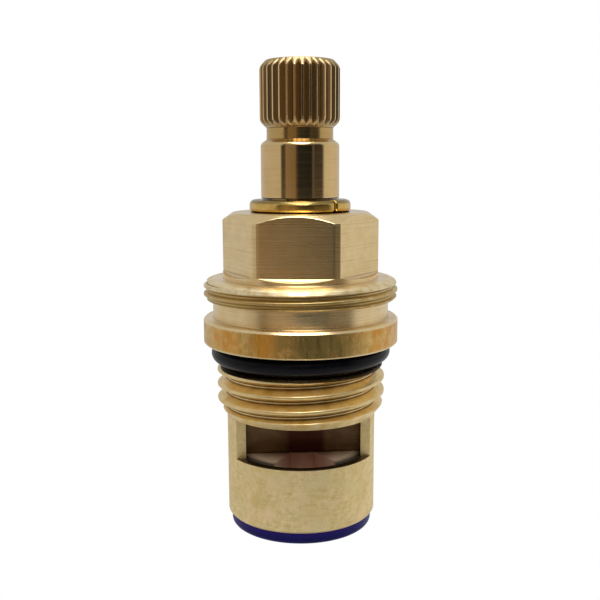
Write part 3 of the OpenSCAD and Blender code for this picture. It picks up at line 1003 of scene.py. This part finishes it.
for r, z in clip_outline:
    share = (r - clip_in_r) / (clip_r - clip_in_r)
    inset = (clip_dent * (clip_dents - 2) / 2 - end_tuck * clip_end_round) * share
    sink = end_tuck * clip_end_taper * (z - clip_middle_z)
    clip_rows.append((r + inset, z + clip_rise - sink))
clip_points = rings(clip_rows, clip_turn)
half_count = (len(clip_outline) + 1) // 2
clip_patches = [(clip_points, False, 0)]
for column, direction in ((0, 1), (-1, -1)):
    low_half = clip_points[:half_count, column]
    high_half = clip_points[::-1][:half_count, column]
    cap = np.array([low_half, high_half])
    clip_patches.append((cap[::direction], False, 0))
clip_ring = skin("clip_ring", clip_patches, [clip_brass])
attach(clip_ring, "spindle")
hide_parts("circlip")

# Bottom seal
# Indigo rubber cup seal pressed into the skirt from below. Its rounded lip stands out under the skirt
# and seals on the seat in the tap, and its barrel presses the fixed disc upwards.
indigo_rubber = rubber_finish("indigo_rubber", (0.003, 0.004, 0.070), (0.008, 0.005, 0.11), (0.30, 0.45))
# The seal's upper part turns violet: a painted sheen along its upper edge.
violet_sheen, violet_sheen_z = (0.025, 0.008, 0.20), (0.7, 1.7)
overlaid(indigo_rubber, [band(indigo_rubber.node_tree, "Z", *violet_sheen_z)], violet_sheen)
seal_shader = indigo_rubber.node_tree.nodes["Principled BSDF"]
seal_shader.inputs["Sheen Weight"].default_value = 0.2
seal_shader.inputs["Sheen Tint"].default_value = (0.16, 0.10, 0.9, 1)
seal_low, seal_high = (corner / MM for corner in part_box("bottom_seal"))
seal_r = seal_high.x
seal_bore_r = 6.9
seal_barrel_r = chamber_r - 0.02
seal_start_z = seal_low.z + 1.0
lip_in_round = 0.35
lip_out_round = 0.5
lip_top_round = 0.02
barrel_round = 0.1
seal_turn = np.linspace(0, 2 * math.pi, 200, endpoint=False)
seal_rows = rounded_outline([
    (seal_bore_r, seal_start_z, 0),
    (seal_bore_r, seal_low.z, lip_in_round),
    (seal_r, seal_low.z, lip_out_round),
    (seal_r, skirt_z, lip_top_round),
    (seal_barrel_r, skirt_z, 0),
    (seal_barrel_r, seal_high.z, barrel_round),
    (seal_bore_r, seal_high.z, barrel_round),
    (seal_bore_r, seal_start_z, 0),
], steps=6)
seat_seal = skin("seat_seal", all_round([(seal_rows, 0)], seal_turn), [indigo_rubber])
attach(seat_seal, "body")
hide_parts("bottom_seal")

# Ceramic discs
# Two alumina discs, pressed, fired and lapped flat. The lower one is keyed to the skirt, the upper one
# is turned by the blade, and water passes where their ports line up.
# Both discs darken towards the rim, a painted shade; the moving disc's side is darker towards the bottom.
disc_dark = (0.026, 0.016, 0.008)
shaded_rim_r, dark_side_z = (6.9, 7.9), (sill_z - 2.0, sill_z - 2.5)
# A pink band across the moving disc's middle: a painted reflection of the blade.
blade_reflection_pink = (0.63, 0.36, 0.255)
blade_reflection_left_x, blade_reflection_right_x = (-3.6, -2.4), (3.8, 2.6)
fired_cloud_mm, pit_mm, pit_depth = 2.4, 0.1, 0.002
fired_rough = (0.50, 0.65)
for name, pale, deep in (("moving_disc", (0.74, 0.56, 0.38), (0.62, 0.44, 0.30)),
                         ("fixed_disc", (0.48, 0.30, 0.21), (0.40, 0.24, 0.17))):
    ceramic, shader, tree = new_material("fired_alumina_" + name)
    clouds = place_group(tree, mottle, fired_cloud_mm, 0.35, 0.7)["Mask"]
    pits = place_group(tree, mottle, pit_mm, 0.35, 0.65)["Mask"]
    tree.links.new(two_tone(tree, clouds, pale, deep), shader.inputs["Base Color"])
    tree.links.new(between(tree, pits, *fired_rough), shader.inputs["Roughness"])
    tree.links.new(bumped(tree, pits, pit_depth), shader.inputs["Normal"])
    if name == "moving_disc":
        overlaid(ceramic, [band(tree, "X", *blade_reflection_left_x), band(tree, "X", *blade_reflection_right_x)], blade_reflection_pink)
        overlaid(ceramic, [band(tree, "Z", *dark_side_z)], disc_dark)
    overlaid(ceramic, [band(tree, "R", *shaded_rim_r)], disc_dark)
    dress(name, ceramic)

# Moulded plastic rings
# The support ring inside the seal and the thrust washer under the shoulder, both of white acetal.
# They are moulded, slightly waxy, and held in place by their neighbours.
acetal, shader, tree = new_material("white_acetal")
clouds = place_group(tree, mottle, 3.0, 0.3, 0.75)["Mask"]
flow_lines, flow_depth = (3.0, 0.3), 0.003
acetal_rough = (0.32, 0.5)
flow_marks = place_group(tree, streaks, *flow_lines, *even_marks)["Streak"]
tree.links.new(two_tone(tree, clouds, (0.80, 0.79, 0.75), (0.72, 0.71, 0.66)), shader.inputs["Base Color"])
tree.links.new(between(tree, flow_marks, *acetal_rough), shader.inputs["Roughness"])
tree.links.new(bumped(tree, flow_marks, flow_depth), shader.inputs["Normal"])
for name in ("seal_support_ring", "thrust_washer"):
    dress(name, acetal)

# Floor, light and camera
# A white table in a light tent: bright behind, above and on both sides, and dark at the open front,
# where the camera looks in.
floor_mesh = bpy.data.meshes.new("floor")
floor_half, floor_z = 0.6, -0.00002
floor_corners = ((-1, -1), (1, -1), (1, 1), (-1, 1))
floor_mesh.from_pydata([(x, y, floor_z) for x, y in floor_corners], [], [(0, 1, 2, 3)])
floor_mesh.transform(Matrix.Diagonal((floor_half, floor_half, 1, 1)))
floor = bpy.data.objects.new("floor", floor_mesh)
bpy.context.scene.collection.objects.link(floor)
floor_white, _, tree = new_material("floor_white")
tree.nodes.clear()


def light_round(tree, place, stops):
    """Colour by the turn round the axis, in degrees from the front (-Y) to +X, and the place's parts."""
    parts = tree.nodes.new("ShaderNodeSeparateXYZ")
    tree.links.new(place, parts.inputs[0])
    forward = math_node(tree, "MULTIPLY", parts.outputs["Y"], -1.0)
    turn = math_node(tree, "ARCTAN2", parts.outputs["X"], forward)
    ramp = tree.nodes.new("ShaderNodeValToRGB")
    for k, (azimuth, light) in enumerate(stops):
        share = azimuth / 360 + 0.5
        stop = ramp.color_ramp.elements[k] if k < 2 else ramp.color_ramp.elements.new(share)
        stop.position = share
        stop.color = (*light, 1)
    tree.links.new(math_node(tree, "MULTIPLY_ADD", turn, 1 / (2 * math.pi), 0.5), ramp.inputs["Fac"])
    return ramp.outputs["Color"], parts.outputs


def white_to_camera(tree, white_kind, lit, out_kind):
    """Ends a tree with plain white for the camera, and with the lit shader for every other ray."""
    link = tree.links.new
    white = tree.nodes.new(white_kind)
    white.inputs["Color"].default_value = (1, 1, 1, 1)
    path = tree.nodes.new("ShaderNodeLightPath")
    either = tree.nodes.new("ShaderNodeMixShader")
    out = tree.nodes.new(out_kind)
    link(path.outputs["Is Camera Ray"], either.inputs["Fac"])
    link(lit.outputs[0], either.inputs[1])
    link(white.outputs[0], either.inputs[2])
    link(either.outputs[0], out.inputs["Surface"])


table_r = 0.062
table_fade = 0.012
table_stops = [
    (-180, (0.60, 0.60, 0.60)), (-82, (0.60, 0.60, 0.59)), (-76, (0.50, 0.455, 0.405)),
    (-66, (0.48, 0.43, 0.375)), (-54, (0.20, 0.165, 0.13)),
    (-44, (0.36, 0.28, 0.20)), (-16, (0.41, 0.30, 0.215)), (-7, (0.125, 0.12, 0.105)),
    (30, (0.10, 0.10, 0.09)), (36, (0.20, 0.175, 0.145)), (60, (0.24, 0.21, 0.17)),
    (72, (0.69, 0.69, 0.68)), (130, (0.69, 0.69, 0.68)), (180, (0.60, 0.60, 0.60)),
]
table_near_stops = [(-180, (0.60, 0.60, 0.60)), (20, (0.61, 0.61, 0.61)), (70, (0.70, 0.70, 0.70)),
                    (130, (0.70, 0.70, 0.70)), (180, (0.60, 0.60, 0.60))]
glow = tree.nodes.new("ShaderNodeEmission")
spot = tree.nodes.new("ShaderNodeTexCoord")
reach = tree.nodes.new("ShaderNodeVectorMath")
reach.operation = "LENGTH"
tree.links.new(spot.outputs["Object"], reach.inputs[0])
near = ramped(tree, reach.outputs["Value"], table_r + table_fade, table_r - table_fade)
far_light, _ = light_round(tree, spot.outputs["Object"], table_stops)
near_light, _ = light_round(tree, spot.outputs["Object"], table_near_stops)
tree.links.new(two_tone(tree, near, far_light, near_light), glow.inputs["Color"])
white_to_camera(tree, "ShaderNodeEmission", glow, "ShaderNodeOutputMaterial")
floor_mesh.materials.append(floor_white)

world = bpy.data.worlds.new("light_tent")
bpy.context.scene.world = world
world.use_nodes = True
tree = world.node_tree
tree.nodes.clear()
wall_stops = [
    (-180, (0.60, 0.60, 0.60)), (-62, (0.58, 0.58, 0.57)), (-58, (0.06, 0.05, 0.045)),
    (-49, (0.06, 0.05, 0.045)), (-46, (0.27, 0.22, 0.165)), (-18, (0.21, 0.165, 0.11)),
    (-11, (0.015, 0.017, 0.022)), (31, (0.010, 0.013, 0.016)), (33, (0.11, 0.095, 0.09)),
    (37, (0.11, 0.095, 0.09)), (39, (0.04, 0.036, 0.036)), (65, (0.05, 0.047, 0.047)),
    (70, (0.62, 0.62, 0.61)), (100, (0.70, 0.70, 0.69)), (180, (0.60, 0.60, 0.60)),
]
roof_light, roof_low, roof_full = (0.62, 0.62, 0.61), math.radians(28), math.radians(50)
look = tree.nodes.new("ShaderNodeTexCoord")
wall_light, parts = light_round(tree, look.outputs["Generated"], wall_stops)
rise = math_node(tree, "ARCSINE", parts["Z"])
overhead = tree.nodes.new("ShaderNodeMapRange")
overhead.interpolation_type = "SMOOTHSTEP"
overhead.inputs["From Min"].default_value = roof_low
overhead.inputs["From Max"].default_value = roof_full
tree.links.new(rise, overhead.inputs["Value"])
tent = tree.nodes.new("ShaderNodeBackground")
tree.links.new(two_tone(tree, overhead.outputs["Result"], wall_light, roof_light), tent.inputs["Color"])
white_to_camera(tree, "ShaderNodeBackground", tent, "ShaderNodeOutputWorld")

softbox_width, softbox_length, softbox_light = 0.32, 0.66, 4.0
softbox_back_y, softbox_height = 0.055, 0.5
softbox_lamp = bpy.data.lights.new("overhead_softbox", "AREA")
softbox_lamp.shape = "RECTANGLE"
softbox_lamp.size, softbox_lamp.size_y = softbox_width, softbox_length
softbox_lamp.energy = softbox_light * math.pi * softbox_width * softbox_length
softbox = bpy.data.objects.new("overhead_softbox", softbox_lamp)
softbox.location = (0, softbox_back_y - softbox_length / 2, softbox_height)
bpy.context.scene.collection.objects.link(softbox)

camera_data = bpy.data.cameras.new("camera")
camera_data.sensor_width = 36
camera_data.lens = 52.29
camera_data.shift_x = -0.00103
camera_data.shift_y = 0.03235
camera_data.clip_start = 0.005
camera = bpy.data.objects.new("camera", camera_data)
camera_distance, camera_height = 107.36 * MM, 45.02 * MM
camera_azimuth, camera_tilt, camera_roll = (math.radians(a) for a in (-3.9, 10.055, -0.212))
stand = Vector((
    math.sin(camera_azimuth) * camera_distance,
    -math.cos(camera_azimuth) * camera_distance,
    camera_height,
))
camera.matrix_world = (
    Matrix.Translation(stand)
    @ Matrix.Rotation(camera_azimuth, 4, "Z")
    @ Matrix.Rotation(math.pi / 2 - camera_tilt, 4, "X")
    @ Matrix.Rotation(camera_roll, 4, "Z")
)
bpy.context.scene.collection.objects.link(camera)
bpy.context.scene.camera = camera
bpy.context.scene.view_settings.view_transform = "Standard"
